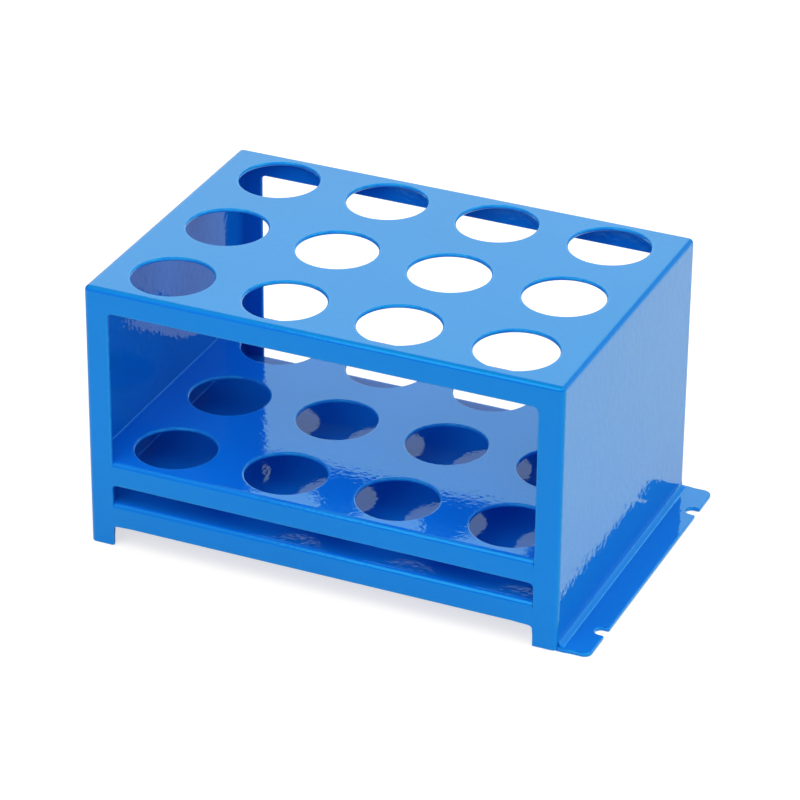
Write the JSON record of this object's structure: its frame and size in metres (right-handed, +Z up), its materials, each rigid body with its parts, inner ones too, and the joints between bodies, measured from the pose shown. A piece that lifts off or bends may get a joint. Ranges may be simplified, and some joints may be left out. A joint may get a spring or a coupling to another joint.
{
  "type": "tube rack",
  "caption": "Folded and welded sheet-metal rack that holds screw-cap tubes upright in a drilled top plate and shelf, with a notched foot flange for screwing it to a mixer's platform.",
  "frame": {"origin": "on the floor, under the middle of the whole footprint, flange included", "axes": "+X along the rack towards the flange, +Y from front to back, +Z up"},
  "size_m": [0.1944, 0.1266, 0.1041],
  "materials": {
    "blue_enamel": "glossy baked enamel over steel sheet"
  },
  "bodies": {
    "root": {"base_plate": "blue_enamel", "left_end_plate": "blue_enamel", "right_end_plate": "blue_enamel", "seam_base_left": "blue_enamel", "seam_base_right": "blue_enamel", "seam_shelf_left": "blue_enamel", "seam_shelf_right": "blue_enamel", "top_plate": "blue_enamel", "tube_shelf": "blue_enamel", "weld_base_back_left": "blue_enamel", "weld_base_back_right": "blue_enamel", "weld_base_front_left": "blue_enamel", "weld_base_front_right": "blue_enamel", "weld_shelf_back_left": "blue_enamel", "weld_shelf_back_right": "blue_enamel", "weld_shelf_front_left": "blue_enamel", "weld_shelf_front_right": "blue_enamel", "weld_top_back_left": "blue_enamel", "weld_top_back_right": "blue_enamel", "weld_top_front_left": "blue_enamel", "weld_top_front_right": "blue_enamel"}
  },
  "joints": []
}
